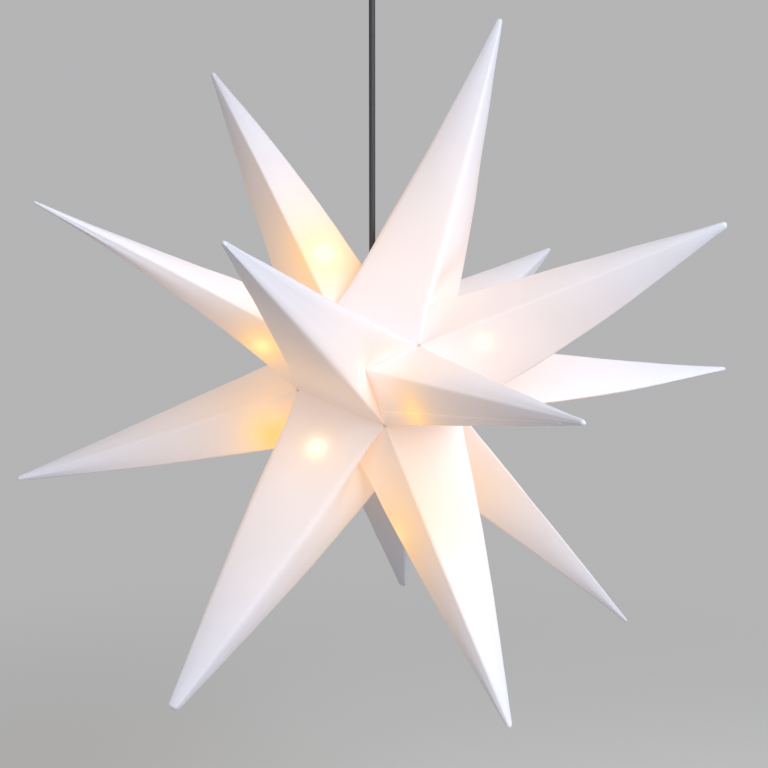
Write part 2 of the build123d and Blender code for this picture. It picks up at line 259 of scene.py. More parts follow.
def fineGrainGroup():  # a fine height, and a slow mottle over the piece
    group, inside, outside = newGroup(
        "fineGrain",
        [
            ("Vector", "NodeSocketVector", None),
            ("Grain Size", "NodeSocketFloat", 0.0006),
            ("Mottle Size", "NodeSocketFloat", 0.02),
        ],
        ["Height", "Mottle"],
    )
    for title, target in (("Grain Size", "Height"), ("Mottle Size", "Mottle")):
        scale = mathNode(group, "DIVIDE", 1.0, inside.outputs[title])
        noise = newNode(group, "ShaderNodeTexNoise")
        noise.inputs["Detail"].default_value = grainDetail[target]
        group.links.new(inside.outputs["Vector"], noise.inputs["Vector"])
        group.links.new(scale, noise.inputs["Scale"])
        group.links.new(noise.outputs["Fac"], outside.inputs[target])
    return group


# the glow of each lamp on its own spike
lampLight = {
    "spots": {  # latitude, longitude and radius of the spot, power of core and halo, halo size
        "left_1": (37.7, 350.7, 0.1059, 0.8, 1.9, 0.017),
        "left_2": (39.0, 62.3, 0.1110, 1.6, 1.3, 0.036),
        "left_3": (46.0, 140.0, 0.1110, 1.2, 0.9, 0.028),
        "left_4": (46.0, 216.0, 0.1110, 1.2, 0.9, 0.028),
        "left_5": (31.6, 297.6, 0.0974, 0.1, 1.9, 0.020),
        "middle_1": (-16.2, 5.7, 0.0721, 0.0, 0.1, 0.014),
        "middle_4": (0.0, 214.0, 0.1060, 0.6, 0.4, 0.024),
        "middle_5": (1.6, 306.6, 0.0864, 1.1, 0.4, 0.022),
        "right_1": (-40.8, 347.8, 0.1125, 0.2, 1.4, 0.019),
        "right_2": (-52.0, 57.0, 0.1068, 0.4, 0.1, 0.020),
        "right_4": (-46.0, 213.0, 0.1110, 1.0, 0.9, 0.028),
        "right_5": (-36.4, 284.5, 0.1333, 0.3, 1.2, 0.036),
    },
    "unlit": (0.0, 0.0, 0.0, 0.0, 0.0, 0.02),
    "coreSize": 0.0082,
    "steepness": {"Core": 2.0, "Halo": 1.3},
    "heartInner": 0.055,
    "heartOuter": 0.330,
    "heartFold": (0.062, 0.095, 0.66),  # the folds' light: dim radius, full radius, least share
    # painted shade: the lowest back spike gets less of the heart's glow, for the shade it hangs in
    # behind the other spikes
    "heartShare": {"middle_4": 0.3},
}


def lampGlowGroup():  # light on the film: a lamp's core and halo, and the star's lit heart
    group, inside, outside = newGroup(
        "lampGlow",
        [
            ("Vector", "NodeSocketVector", None),
            ("Spot", "NodeSocketVector", None),
            ("Core Power", "NodeSocketFloat", 0.0),
            ("Halo Power", "NodeSocketFloat", 0.0),
            ("Halo Size", "NodeSocketFloat", 0.02),
        ],
        ["Core", "Halo", "Heart"],
    )
    vector = inside.outputs["Vector"]
    away = distanceTo(group, vector, inside.outputs["Spot"])
    sizes = {"Core": lampLight["coreSize"], "Halo": inside.outputs["Halo Size"]}
    for title, steepness in lampLight["steepness"].items():
        share = mathNode(group, "DIVIDE", away, sizes[title])
        bent = mathNode(group, "POWER", share, steepness)
        fade = mathNode(group, "EXPONENT", mathNode(group, "MULTIPLY", bent, -1.0))
        lit = mathNode(group, "MULTIPLY", fade, inside.outputs[title + " Power"])
        group.links.new(lit, outside.inputs[title])
    depth = distanceTo(group, vector, starCentre)
    heart = smoothFade(group, depth, lampLight["heartOuter"], lampLight["heartInner"])
    fold = smoothFade(group, depth, *lampLight["heartFold"])
    group.links.new(mathNode(group, "MULTIPLY", heart, fold), outside.inputs["Heart"])
    return group


grainGroup = fineGrainGroup()
glowGroup = lampGlowGroup()


def placeGroup(tree, group, vector, values):
    made = newNode(tree, "ShaderNodeGroup", node_tree=group)
    tree.links.new(vector, made.inputs["Vector"])
    for title, value in values.items():
        made.inputs[title].default_value = value
    return made


def newMaterial(name):
    material = bpy.data.materials.new(name)
    material.use_nodes = True
    tree = material.node_tree
    shader = tree.nodes["Principled BSDF"]
    coords = newNode(tree, "ShaderNodeTexCoord").outputs["Object"]
    return material, tree, shader, coords


def addBump(tree, shader, height, depth, strength):
    bump = newNode(tree, "ShaderNodeBump")
    bump.inputs["Distance"].default_value = depth
    bump.inputs["Strength"].default_value = strength
    tree.links.new(height, bump.inputs["Height"])
    tree.links.new(bump.outputs["Normal"], shader.inputs["Normal"])


# white translucent film, lit from inside, one material for each spike because of its own lamp
filmLook = {
    "coolWhite": (0.87, 0.855, 0.935, 1),
    "warmWhite": (0.77, 0.765, 0.84, 1),
    # painted shade: the seam tint darkens the foot of each spike, in the valley where it meets its
    # neighbours
    "seamShadeTint": (0.78, 0.70, 0.58, 1),
    "seamShadeShare": 0.05,
    # painted shade: small dark spots in the creases where four spikes meet at a base corner
    "pinchShadeTint": (0.68, 0.63, 0.59, 1),
    "pinchShadeSize": (0.0004, 0.0028),
    "heartGlow": (0.35, 0.205, 0.085, 1),
    "haloTint": (0.95, 0.56, 0.22, 1),
    "haloTintShare": 0.55,
    "haloGlow": (0.37, 0.18, 0.02, 1),
    "coreGlow": (0.55, 0.50, 0.30, 1),
    "roughness": (0.40, 0.54),
    "grainSize": 0.0008,
    "grainDepth": 0.00005,
    "grainStrength": 0.15,
    "mottleSize": 0.03,
}


def seamPinchShade(tree, coords, corners):  # painted shade: darker in the creases where the seams cross at the base corners
    inner, outer = filmLook["pinchShadeSize"]
    mask = 0.0
    for corner in corners:
        fade = smoothFade(tree, distanceTo(tree, coords, corner), outer, inner)
        mask = mathNode(tree, "MAXIMUM", fade, mask)
    return mask


def filmMaterial(name, corners):
    material, tree, shader, coords = newMaterial("film_" + name)
    spot = lampLight["spots"].get(name, lampLight["unlit"])
    latitude, longitude, radius, core, halo, haloSize = spot
    glow = placeGroup(tree, glowGroup, coords, {
        "Spot": starPoint(radius, latitude, longitude),
        "Core Power": core,
        "Halo Power": halo,
        "Halo Size": haloSize,
    })
    grain = placeGroup(tree, grainGroup, coords, {
        "Grain Size": filmLook["grainSize"],
        "Mottle Size": filmLook["mottleSize"],
    })
    seam = newNode(tree, "ShaderNodeAttribute", attribute_name="seam").outputs["Fac"]
    # painted shade at the spike's foot, where the film runs down into the valley between spikes
    seamShadeMask = mathNode(tree, "MULTIPLY", seam, filmLook["seamShadeShare"])
    whites = filmLook["coolWhite"], filmLook["warmWhite"]
    colour = mixColour(tree, "MIX", glow.outputs["Heart"], *whites)
    colour = mixColour(tree, "MULTIPLY", seamShadeMask, colour, filmLook["seamShadeTint"])
    tintMask = mathNode(tree, "MULTIPLY", glow.outputs["Halo"], filmLook["haloTintShare"])
    tintMask = mathNode(tree, "MINIMUM", tintMask, 1.0)
    colour = mixColour(tree, "MULTIPLY", tintMask, colour, filmLook["haloTint"])
    # painted shade in the creases at the seams' crossings
    pinchShadeMask = seamPinchShade(tree, coords, corners)
    colour = mixColour(tree, "MULTIPLY", pinchShadeMask, colour, filmLook["pinchShadeTint"])
    tree.links.new(colour, shader.inputs["Base Color"])
    # painted shade: less heart glow on a spike that hangs in shade
    heartShare = lampLight["heartShare"].get(name, 1.0)
    heart = mathNode(tree, "MULTIPLY", glow.outputs["Heart"], heartShare)
    light = mixColour(tree, "ADD", heart, (0, 0, 0, 1), filmLook["heartGlow"])
    light = mixColour(tree, "ADD", glow.outputs["Halo"], light, filmLook["haloGlow"])
    light = mixColour(tree, "ADD", glow.outputs["Core"], light, filmLook["coreGlow"])
    tree.links.new(light, shader.inputs["Emission Color"])
    shader.inputs["Emission Strength"].default_value = 1.0
    roughness = spread(tree, grain.outputs["Mottle"], *filmLook["roughness"])
    tree.links.new(roughness, shader.inputs["Roughness"])
    addBump(
        tree, shader, grain.outputs["Height"], filmLook["grainDepth"], filmLook["grainStrength"]
    )
    return material


# each spike's skin: rounded ridges, a little slack in the film, a blunt welded tip
filmSkin = {
    "innerShare": 0.99,
    "innerTop": 0.5,
    "rows": 54,
    "sideSteps": 8,
    "roundSteps": 4,
    "leastRound": 0.000066,
    "bendShare": 0.32,  # the most of a side that one bend may take
    "ridgeRound": {"left": 0.0022, "middle": 0.0055, "right": 0.0022},
    "midRound": {"left": 0.0026, "middle": 0.011, "right": 0.0026},
    "roundStart": 0.10,
    "apexReach": 0.010,
    "valleyFill": (1.03, 0.35),  # how far a fold flattens, and the share of the length it takes
    "foldSwell": {"middle_5": 0.30, "middle_2": 0.25},
    "foldCrown": 0.15,
    "wideTips": {
        "middle_5": 0.018, "middle_4": 0.018, "right_1": 0.015, "left_5": 0.012, "right_2": 0.012,
    },
    "tipDome": 0.0026,
    "tipInset": 0.0004,
    "moreInset": {"middle_5": 0.0014},
    "domeRows": 4,
    "flangeDepth": (0.14, 0.05),
    "seamRows": (0.0, 0.004, 0.010),
    "crown": 0.0012,
    "form": {  # how far each spike's edges swell, and how far the spike bends sideways
        "left_1": (-0.0034, -0.0016),
        "left_2": (0.0040, -0.0016),
        "left_5": (0.0018, 0.0016),
        "middle_1": (-0.0004, 0.0004),
        "middle_2": (-0.0008, -0.0012),
        "middle_3": (-0.0002, 0.0),
        "middle_4": (0.0002, 0.0008),
        "middle_5": (0.0034, 0.0),
        "right_1": (0.0, -0.0008),
        "right_2": (0.0036, -0.0022),
        "right_3": (0.0014, -0.0046),
        "right_4": (-0.0010, 0.0014),
        "right_5": (0.0032, 0.0),
    },
    "plainForm": (0.0006, 0.0),
    "slackStart": 0.18,
    "slackLoss": 0.75,
    "dentDepth": 0.0014,
    "dentSize": 0.050,
    "dentDetail": 1.0,
    "seed": 7,
}
stepsPerCorner = filmSkin["roundSteps"] + filmSkin["sideSteps"]


def baseRing(row, column):
    side = starLayout["rowSide"][row]
    step = 360 / starLayout["columns"]
    middle = (column - 1) * step
    before = middle - step / 2
    after = middle + step / 2
    cornerRadius = starLayout["cornerRadius"]
    cornerLatitude = starLayout["cornerLatitude"]
    midRadius = starLayout["midRadius"]
    midLatitude = starLayout["midLatitude"]
    if side == 0:
        return [
            starPoint(cornerRadius, cornerLatitude, before),
            starPoint(midRadius, midLatitude, middle),
            starPoint(cornerRadius, cornerLatitude, after),
            starPoint(cornerRadius, -cornerLatitude, after),
            starPoint(midRadius, -midLatitude, middle),
            starPoint(cornerRadius, -cornerLatitude, before),
        ]
    return [
        starPoint(starLayout["poleRadius"], side * 90, middle),
        starPoint(cornerRadius, side * cornerLatitude, before),
        starPoint(midRadius, side * midLatitude, middle),
        starPoint(cornerRadius, side * cornerLatitude, after),
    ]


def seamCrossings(row, column):  # the base corners where four spikes meet
    ring = baseRing(row, column)
    return [ring[i] for i in ((0, 2, 3, 5) if row == "middle" else (1, 3))]


def spikeTip(row, column):
    rise, turn, longer = starLayout["lean"].get(f"{row}_{column}", (0.0, 0.0, 0.0))
    latitude = starLayout["rowSide"][row] * starLayout["rowLatitude"] + rise
    longitude = (column - 1) * 360 / starLayout["columns"] + turn
    return starPoint(starLayout["tipRadius"] + longer, latitude, longitude)


def roundedLoop(corners, sizes, crowns, axis):
    # points round one section: a soft bend at each corner, slightly crowned sides between
    count = len(corners)
    bends = []
    for i, corner in enumerate(corners):
        back = corners[i - 1] - corner
        ahead = corners[(i + 1) % count] - corner
        reach = min(sizes[i], filmSkin["bendShare"] * min(back.length, ahead.length))
        entry = corner + back.normalized() * reach
        bends.append((entry, corner, corner + ahead.normalized() * reach))
    points = []
    centre = sum(corners, Vector()) / count
    for i, (entry, corner, leave) in enumerate(bends):
        for k in range(filmSkin["roundSteps"] + 1):
            s = k / filmSkin["roundSteps"]
            points.append(entry * (1 - s) ** 2 + corner * 2 * s * (1 - s) + leave * s * s)
        nextEntry = bends[(i + 1) % count][0]
        outward = (nextEntry - leave).cross(axis)
        if outward.dot((leave + nextEntry) / 2 - centre) < 0:
            outward.negate()
        outward.normalize()
        for k in range(1, filmSkin["sideSteps"]):
            s = k / filmSkin["sideSteps"]
            points.append(leave.lerp(nextEntry, s) + outward * (crowns[i] * 4 * s * (1 - s)))
    return points


def spikeShape(row, column):
    # the edges of one spike at a share of its length, swollen and bent as the soft film stands
    name = f"{row}_{column}"
    ring = baseRing(row, column)
    tip = spikeTip(row, column)
    axis = (tip - starCentre).normalized()
    tip -= axis * filmSkin["moreInset"].get(name, filmSkin["tipInset"])
    reach = filmSkin["wideTips"].get(name, filmSkin["apexReach"])
    apex = tip + axis * reach
    swell, bend = filmSkin["form"].get(name, filmSkin["plainForm"])
    sideways = axis.cross(Vector((0, 1, 0)))
    height = sum((apex - corner).dot(axis) for corner in ring) / len(ring)
    lastShare = 1 - (reach + filmSkin["tipDome"]) / height

    def edgesAt(share):
        bow = math.sin(math.pi * share)
        edges = []
        for corner in ring:
            out = corner - starCentre
            out = (out - axis * out.dot(axis)).normalized()
            edges.append(corner.lerp(apex, share) + (out * swell + sideways * bend) * bow)
        most, by = filmSkin["valleyFill"]
        most += filmSkin["foldSwell"].get(name, 0.0)
        rise = min(1.0, share / by)
        fill = most * rise * rise * (3 - 2 * rise)
        for i in (1, 4) if row == "middle" else ():  # the folds beside a middle spike flatten out
            edges[i] = edges[i].lerp((edges[i - 1] + edges[i + 1]) / 2, fill)
        return edges

    return ring, axis, lastShare, edgesAt


def spikeSkin(row, column):
    ring, axis, lastShare, edgesAt = spikeShape(row, column)
    midPlaces = (1, 4) if row == "middle" else (2,)
    rounds = [filmSkin["ridgeRound"][row]] * len(ring)
    for i in midPlaces:
        rounds[i] = filmSkin["midRound"][row]
    full = [1.0] * len(ring)
    if row == "middle":
        for i in midPlaces:
            full[i - 1] = full[i] = filmSkin["foldCrown"]
    loops = []
    marks = {"seam": [], "slack": []}

    def addLoop(corners, ease, crown, slack, seam):
        sizes = [max(filmSkin["leastRound"], size * ease) for size in rounds]
        points = roundedLoop(corners, sizes, [crown * share for share in full], axis)
        loops.append(points)
        marks["seam"] += [seam] * len(points)
        marks["slack"] += [slack] * len(points)

    for depth in filmSkin["flangeDepth"]:
        addLoop([corner.lerp(starCentre, depth) for corner in ring], 0.0, 0.0, 0.0, 1.0)
    shares = list(filmSkin["seamRows"])
    shares += [lastShare * j / filmSkin["rows"] for j in range(1, filmSkin["rows"] + 1)]
    for share in shares:
        ease = min(1.0, share / filmSkin["roundStart"])
        slack = min(1.0, share / filmSkin["slackStart"]) * (1 - filmSkin["slackLoss"] * share)
        seam = max(0.0, 1.0 - share / filmSkin["seamRows"][-1])
        addLoop(edgesAt(share), ease, filmSkin["crown"] * math.sin(math.pi * share), slack, seam)
    lastLoop = loops[-1]
    count = len(lastLoop)
    middle = sum(lastLoop, Vector()) / count
    for k in range(1, filmSkin["domeRows"]):
        angle = math.pi / 2 * k / filmSkin["domeRows"]
        rise = axis * (filmSkin["tipDome"] * math.sin(angle))
        loops.append([middle + (p - middle) * math.cos(angle) + rise for p in lastLoop])
        for values in marks.values():
            values.extend([0.0] * count)
    return loops, marks, middle + axis * filmSkin["tipDome"], axis


def spikeMesh(name, row, column):
    loops, marks, top, axis = spikeSkin(row, column)
    count = len(loops[0])
    points = [p for loop in loops for p in loop] + [top]
    faces = tubeFaces(len(loops), count)
    last = (len(loops) - 1) * count
    for i in range(count):
        faces.append((last + i, last + (i + 1) % count, len(points) - 1))
    mesh = makeMesh(name, points, faces)
    for title, values in marks.items():
        mesh.attributes.new(title, "FLOAT", "POINT").data.foreach_set("value", values + [0.0])
    shape = bmesh.new()
    shape.from_mesh(mesh)
    bmesh.ops.recalc_face_normals(shape, faces=shape.faces)
    shape.faces.ensure_lookup_table()
    probe = shape.faces[(len(loops) // 2) * count]
    onAxis = starCentre + axis * (probe.calc_center_median() - starCentre).dot(axis)
    if probe.normal.dot(probe.calc_center_median() - onAxis) < 0:
        bmesh.ops.reverse_faces(shape, faces=shape.faces)
    shape.to_mesh(mesh)
    shape.free()
    smoothMesh(mesh)
    return mesh


def newTree(name, ins):
    tree = bpy.data.node_groups.new(name, "GeometryNodeTree")
    tree.interface.new_socket("Geometry", in_out="INPUT", socket_type="NodeSocketGeometry")
    keys = {}
    for title, kind in ins + [("Finish", "NodeSocketMaterial")]:
        keys[title] = tree.interface.new_socket(title, in_out="INPUT", socket_type=kind).identifier
    tree.interface.new_socket("Geometry", in_out="OUTPUT", socket_type="NodeSocketGeometry")
    return tree, keys, newNode(tree, "NodeGroupInput"), newNode(tree, "NodeGroupOutput")


def closeTree(tree, geometry, inside, outside):
    realize = newNode(tree, "GeometryNodeRealizeInstances")
    paint = newNode(tree, "GeometryNodeSetMaterial")
    tree.links.new(geometry, realize.inputs[0])
    tree.links.new(realize.outputs[0], paint.inputs["Geometry"])
    tree.links.new(inside.outputs["Finish"], paint.inputs["Material"])
    tree.links.new(paint.outputs[0], outside.inputs[0])


def addTree(thing, tree, keys, values):
    modifier = thing.modifiers.new(tree.name, "NODES")
    modifier.node_group = tree
    for title, value in values.items():
        modifier[keys[title]] = value


def slackFilmTree():  # the film's soft dents, none at the seams and the tip
    tree, keys, inside, outside = newTree("slackFilm", [
        ("Dent Depth", "NodeSocketFloat"),
        ("Dent Size", "NodeSocketFloat"),
        ("Seed", "NodeSocketFloat"),
    ])
    noise = newNode(tree, "ShaderNodeTexNoise", noise_dimensions="4D")
    noise.inputs["Detail"].default_value = filmSkin["dentDetail"]
    tree.links.new(newNode(tree, "GeometryNodeInputPosition").outputs[0], noise.inputs["Vector"])
    tree.links.new(inside.outputs["Seed"], noise.inputs["W"])
    scale = mathNode(tree, "DIVIDE", 1.0, inside.outputs["Dent Size"])
    tree.links.new(scale, noise.inputs["Scale"])
    slack = newNode(tree, "GeometryNodeInputNamedAttribute", data_type="FLOAT")
    slack.inputs["Name"].default_value = "slack"
    depth = mathNode(tree, "MULTIPLY", inside.outputs["Dent Depth"], slack.outputs[0])
    wave = mathNode(tree, "MULTIPLY", mathNode(tree, "SUBTRACT", noise.outputs["Fac"], 0.5), 2.0)
    push = newNode(tree, "ShaderNodeVectorMath", operation="SCALE")
    tree.links.new(newNode(tree, "GeometryNodeInputNormal").outputs[0], push.inputs[0])
    tree.links.new(mathNode(tree, "MULTIPLY", depth, wave), push.inputs["Scale"])
    moved = newNode(tree, "GeometryNodeSetPosition")
    tree.links.new(inside.outputs["Geometry"], moved.inputs["Geometry"])
    tree.links.new(push.outputs[0], moved.inputs["Offset"])
    closeTree(tree, moved.outputs[0], inside, outside)
    return tree, keys


slackTree, slackKeys = slackFilmTree()


def addInnerWall(spike, count):  # each loop drawn in toward its own middle, joined round the base
    skin = spike.data
    points = [spot.co.copy() for spot in skin.vertices]
    total = len(points)
    inner = []
    for first in range(0, total - 1, count):
        loop = points[first:first + count]
        middle = sum(loop, Vector()) / count
        inner += [middle.lerp(p, filmSkin["innerShare"]) for p in loop]
    inner.append(middle.lerp(points[-1], filmSkin["innerTop"]))
    outside = [tuple(face.vertices) for face in skin.polygons]
    faces = outside + [tuple(v + total for v in reversed(face)) for face in outside]
    start = outside[0]
    forward = start[(start.index(0) + 1) % len(start)] == 1
    for i in range(count):
        beside = (i + 1) % count
        rim = (beside, i, i + total, beside + total)
        faces.append(rim if forward else rim[::-1])
    mesh = makeMesh(spike.name, points + inner, faces)
    values = [spot.value for spot in skin.attributes["seam"].data]
    mesh.attributes.new("seam", "FLOAT", "POINT").data.foreach_set("value", values + values)
    mesh.materials.append(skin.materials[0])
    smoothMesh(mesh)
    spike.data = mesh


def addSpike(row, column):
    name = f"filmSpike_{row}_{column}"
    spike = linkObject(name, spikeMesh(name, row, column))
    addTree(spike, slackTree, slackKeys, {
        "Dent Depth": filmSkin["dentDepth"],
        "Dent Size": filmSkin["dentSize"],
        "Seed": float(filmSkin["seed"]),
        "Finish": filmMaterial(f"{row}_{column}", seamCrossings(row, column)),
    })
    bakeShape(spike)
    addInnerWall(spike, stepsPerCorner * len(baseRing(row, column)))
    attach(spike, "star")
    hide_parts(f"spike_{row}_{column}")


for row in starLayout["rowSide"]:
    for column in range(1, starLayout["columns"] + 1):
        addSpike(row, column)
print("film: spikes made")

# the welded strip along the lower front ridge of one spike
seamStrip = {
    "spike": ("right", 1),
    "ridge": 1,
    "side": 1,
    "sideColumns": 2,
    "lift": 0.0005,
    "rowSpan": (0.04, 0.93),
}


def addSeamStrip():
    row, column = seamStrip["spike"]
    film = bpy.data.objects[f"filmSpike_{row}_{column}"]
    count = stepsPerCorner * len(baseRing(row, column))
    middle = seamStrip["ridge"] * stepsPerCorner + filmSkin["roundSteps"] // 2
    span = filmSkin["roundSteps"] // 2 + seamStrip["sideColumns"]
    columns = [(middle + seamStrip["side"] * k) % count for k in range(span + 1)]
    rows = len(filmSkin["flangeDepth"]) + len(filmSkin["seamRows"]) + filmSkin["rows"]
    first, last = (round(rows * share) for share in seamStrip["rowSpan"])
    points = []
    for j in range(first, last):
        for place in columns:
            spot = film.data.vertices[j * count + place]
            points.append(spot.co + spot.normal * seamStrip["lift"])
    wide = len(columns)
    faces = []
    for j in range(last - first - 1):
        for k in range(wide - 1):
            here = j * wide + k
            faces.append((here, here + 1, here + 1 + wide, here + wide))
    strip = linkObject("seamStrip", makeMesh("seamStrip", points, faces))
    outward = film.data.vertices[first * count + columns[-1]].normal
    if strip.data.polygons[0].normal.dot(outward) < 0:
        strip.data.flip_normals()
    smoothMesh(strip.data)
    strip.data.materials.append(film.data.materials[0])
    wall = strip.modifiers.new("wall", "SOLIDIFY")
    wall.thickness = seamStrip["lift"]
    wall.offset = -1
    bakeShape(strip)
    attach(strip, "star")


addSeamStrip()
print("film: seam strip made")

# plain finishes of the small parts, one entry for each slot of the record
finishes = {
    "cord": {
        "colours": ((0.034, 0.033, 0.036, 1), (0.048, 0.047, 0.051, 1)),
        "roughness": (0.42, 0.56),
        "grainSize": 0.0007,
        "grainDepth": 0.00012,
        "mottleSize": 0.012,
    },
    "gland": {
        "colours": ((0.018, 0.018, 0.019, 1), (0.030, 0.030, 0.032, 1)),
        "roughness": (0.55, 0.72),
        "grainSize": 0.0006,
        "grainDepth": 0.00015,
        "mottleSize": 0.008,
    },
    "grip": {
        "colours": ((0.020, 0.020, 0.021, 1), (0.030, 0.030, 0.032, 1)),
        "roughness": (0.40, 0.55),
        "grainSize": 0.0005,
        "grainDepth": 0.0001,
        "mottleSize": 0.01,
    },
    "inner_plastic": {
        "colours": ((0.70, 0.70, 0.68, 1), (0.78, 0.78, 0.76, 1)),
        "roughness": (0.40, 0.52),
        "grainSize": 0.0005,
        "grainDepth": 0.0001,
        "mottleSize": 0.01,
    },
    "stud": {
        "colours": ((0.74, 0.74, 0.73, 1), (0.80, 0.80, 0.79, 1)),
        "roughness": (0.25, 0.35),
        "grainSize": 0.0004,
        "grainDepth": 0.00006,
        "mottleSize": 0.006,
    },
    "lead": {
        "colours": ((0.60, 0.60, 0.58, 1), (0.68, 0.68, 0.66, 1)),
        "roughness": (0.30, 0.42),
        "grainSize": 0.0005,
        "grainDepth": 0.00008,
        "mottleSize": 0.01,
    },
    "core": {
        "colours": ((0.070, 0.026, 0.010, 1), (0.095, 0.036, 0.014, 1)),
        "roughness": (0.28, 0.38),
        "grainSize": 0.0004,
        "grainDepth": 0.00006,
        "mottleSize": 0.006,
    },
    "cup_paint": {
        "colours": ((0.70, 0.70, 0.70, 1), (0.75, 0.75, 0.75, 1)),
        "roughness": (0.30, 0.40),
        "grainSize": 0.0009,
        "grainDepth": 0.00012,
        "mottleSize": 0.03,
    },
    "zinc_steel": {
        "colours": ((0.46, 0.47, 0.49, 1), (0.62, 0.63, 0.65, 1)),
        "roughness": (0.28, 0.46),
        "grainSize": 0.0007,
        "grainDepth": 0.00008,
        "mottleSize": 0.006,
        "metallic": 1.0,
    },
    "screw_steel": {
        "colours": ((0.55, 0.56, 0.58, 1), (0.66, 0.67, 0.69, 1)),
        "roughness": (0.22, 0.36),
        "grainSize": 0.0004,
        "grainDepth": 0.00005,
        "mottleSize": 0.003,
        "metallic": 1.0,
    },
    "screw_brass": {
        "colours": ((0.58, 0.40, 0.14, 1), (0.68, 0.50, 0.20, 1)),
        "roughness": (0.26, 0.42),
        "grainSize": 0.0004,
        "grainDepth": 0.00005,
        "mottleSize": 0.003,
        "metallic": 1.0,
    },
}


partGrainStrength = 0.3


def partFinish(name, look):
    material, tree, shader, coords = newMaterial(name)
    grain = placeGroup(tree, grainGroup, coords, {
        "Grain Size": look["grainSize"],
        "Mottle Size": look["mottleSize"],
    })
    colour = mixColour(tree, "MIX", grain.outputs["Mottle"], *look["colours"])
    tree.links.new(colour, shader.inputs["Base Color"])
    roughness = spread(tree, grain.outputs["Mottle"], *look["roughness"])
    tree.links.new(roughness, shader.inputs["Roughness"])
    shader.inputs["Metallic"].default_value = look.get("metallic", 0.0)
    addBump(tree, shader, grain.outputs["Height"], look["grainDepth"], partGrainStrength)
    return material


lampLook = {
    "body": (0.95, 0.80, 0.50, 1),
    "bright": (1.0, 0.86, 0.55, 1),
    "edge": (1.0, 0.62, 0.22, 1),
    "strength": 4.0,
    "roughness": 0.15,
}


def lampFinish():
    material, tree, shader, coords = newMaterial("warmLamp")
    grain = placeGroup(tree, grainGroup, coords, {})
    light = mixColour(tree, "MIX", grain.outputs["Mottle"], lampLook["edge"], lampLook["bright"])
    shader.inputs["Base Color"].default_value = lampLook["body"]
    tree.links.new(light, shader.inputs["Emission Color"])
    shader.inputs["Emission Strength"].default_value = lampLook["strength"]
    shader.inputs["Roughness"].default_value = lampLook["roughness"]
    return material


slotFinish = {slot: partFinish(slot + "_finish", look) for slot, look in finishes.items()}
slotFinish["lamp"] = lampFinish()


def dressNode(node, finish):
    if not node.material_slots:
        node.data.materials.append(finish)
    for place in node.material_slots:
        place.material = finish


for subpart in frame["record"]["subparts"]:
    if subpart["material_slot"] in slotFinish:
        dressNode(frame["nodes"][subpart["node"]], slotFinish[subpart["material_slot"]])
print("finishes: set on the small parts")

# the cord, straight down from the ceiling grip to the gland on the star
cordRun = {
    "diameter": 0.005,
    "inGland": 0.022,
    "shares": (0.0, 0.35, 0.7, 1.0),
    "order": 3,
    "roundSteps": 6,
}


def cordCurve(name, kind, places):
    data = bpy.data.curves.new(name, "CURVE")
    data.dimensions = "3D"
    data.bevel_depth = cordRun["diameter"] / 2
    data.bevel_resolution = cordRun["roundSteps"]
    data.use_fill_caps = True
    line = data.splines.new(kind)
    line.points.add(len(places) - 1)
    for point, place in zip(line.points, places):
        point.co = (*place, 1)
    return data


def addCord():
    exitPoint = Vector((0, 0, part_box("cord_gland")[1][2]))
    start = exitPoint - Vector((0, 0, cordRun["inGland"]))
    end = Vector((0, 0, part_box("cord")[1][2] - cordRun["diameter"] / 2))
    data = cordCurve("cord", "NURBS", [start.lerp(end, share) for share in cordRun["shares"]])
    data.splines[0].order_u = cordRun["order"]
    data.splines[0].use_endpoint_u = True
    data.materials.append(slotFinish["cord"])
    cord = linkObject("hangingCord", data)
    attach(cord, "pendulum")
    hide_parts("cord")
    return start


def addInnerCord(top):  # the stretch inside the star, from the gland down to the junction
    bottom = Vector((0, 0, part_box("cord")[0][2]))
    path = linkObject("innerCordPath", cordCurve("innerCord", "POLY", (bottom, top)))
    graph = bpy.context.evaluated_depsgraph_get()
    mesh = bpy.data.meshes.new_from_object(path.evaluated_get(graph), depsgraph=graph)
    bpy.data.objects.remove(path)
    mesh.materials.clear()
    mesh.materials.append(slotFinish["cord"])
    smoothMesh(mesh)
    inner = linkObject("innerCord", mesh)
    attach(inner, "pendulum")
    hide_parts("cord")


addInnerCord(addCord())
print("cord: hung")


# small repeated shapes of the gland and the ceiling set
def latheMesh(name, profile, segments):  # profile: radius and height, from the lower end up
    points = []
    for radius, height in profile:
        for i in range(segments):
            angle = math.tau * i / segments
            points.append((radius * math.cos(angle), radius * math.sin(angle), height))
    faces = tubeFaces(len(profile), segments)
    faces.append(tuple(reversed(range(segments))))
    faces.append(tuple(range(len(points) - segments, len(points))))
    return makeMesh(name, points, faces)


def ringRepeatTree():  # a shape repeated round the upright axis
    tree, keys, inside, outside = newTree("ringRepeat", [("Count", "NodeSocketInt")])
    spots = newNode(tree, "GeometryNodePoints")
    tree.links.new(inside.outputs["Count"], spots.inputs["Count"])
    step = mathNode(tree, "DIVIDE", math.tau, inside.outputs["Count"])
    index = newNode(tree, "GeometryNodeInputIndex").outputs[0]
    turn = newNode(tree, "ShaderNodeCombineXYZ")
    tree.links.new(mathNode(tree, "MULTIPLY", index, step), turn.inputs["Z"])
    rotation = newNode(tree, "FunctionNodeEulerToRotation")
    tree.links.new(turn.outputs[0], rotation.inputs[0])
    copies = newNode(tree, "GeometryNodeInstanceOnPoints")
    tree.links.new(spots.outputs[0], copies.inputs["Points"])
    tree.links.new(inside.outputs["Geometry"], copies.inputs["Instance"])
    tree.links.new(rotation.outputs[0], copies.inputs["Rotation"])
    closeTree(tree, copies.outputs[0], inside, outside)
    return tree, keys


glandRings = {
    "count": 4,
    "below": 0.0105,
    "heightStep": 0.003,
    "firstRadius": 0.0064,
    "radiusStep": -0.00085,
    "ringRadius": 0.00075,
    "ringSteps": 48,
    "tubeSteps": 12,
}


